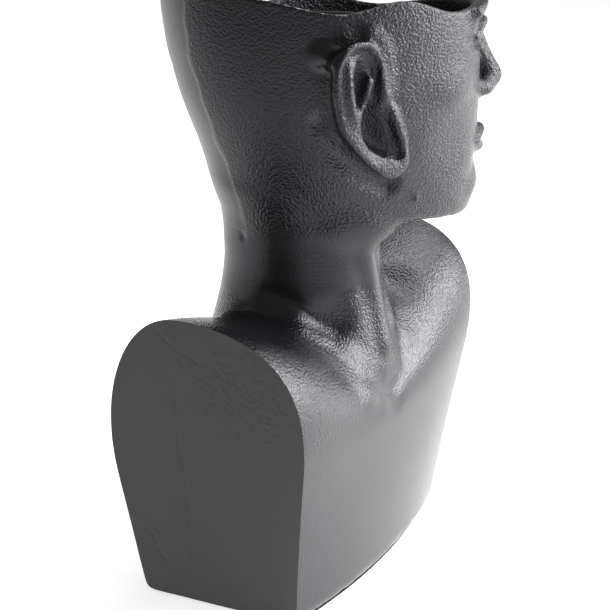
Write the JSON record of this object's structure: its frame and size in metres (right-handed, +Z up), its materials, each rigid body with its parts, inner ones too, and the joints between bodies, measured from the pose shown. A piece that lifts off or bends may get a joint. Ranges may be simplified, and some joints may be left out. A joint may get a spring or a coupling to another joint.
{
  "type": "head planter",
  "caption": "Hollow cast bust with a turned head, open at a wavy rim, that holds a lift-out planting liner with a drain plug.",
  "frame": {"origin": "centre of the base on the ground, midway between the flat shoulder ends", "axes": "+Z up, the chest faces -Y, the figure's right shoulder points to -X"},
  "size_m": [0.274, 0.1789, 0.3627],
  "materials": {
    "black_coating": "black stoved coating over cast aluminium with a hammered cast grain",
    "sheet_metal": "satin black coated sheet",
    "liner_plastic": "moulded black plastic",
    "plug_rubber": "moulded rubber",
    "felt": "black felt"
  },
  "bodies": {
    "casting": {"head_right_shell": "black_coating", "head_left_shell": "black_coating", "bust_front_shell": "black_coating", "bust_rear_shell": "black_coating", "floor_plate": "sheet_metal", "base_plate": "sheet_metal", "base_felt": "felt"},
    "liner": {"planting_liner": "liner_plastic"},
    "plug": {"drain_plug": "plug_rubber"}
  },
  "joints": [
    {"name": "liner_lift", "type": "slide", "parent": "casting", "child": "liner", "axis": [0, 0, 1], "range_m": [0, 0.13]},
    {"name": "plug_pull", "type": "slide", "parent": "liner", "child": "plug", "axis": [0, 0, 1], "range_m": [0, 0.03]}
  ]
}
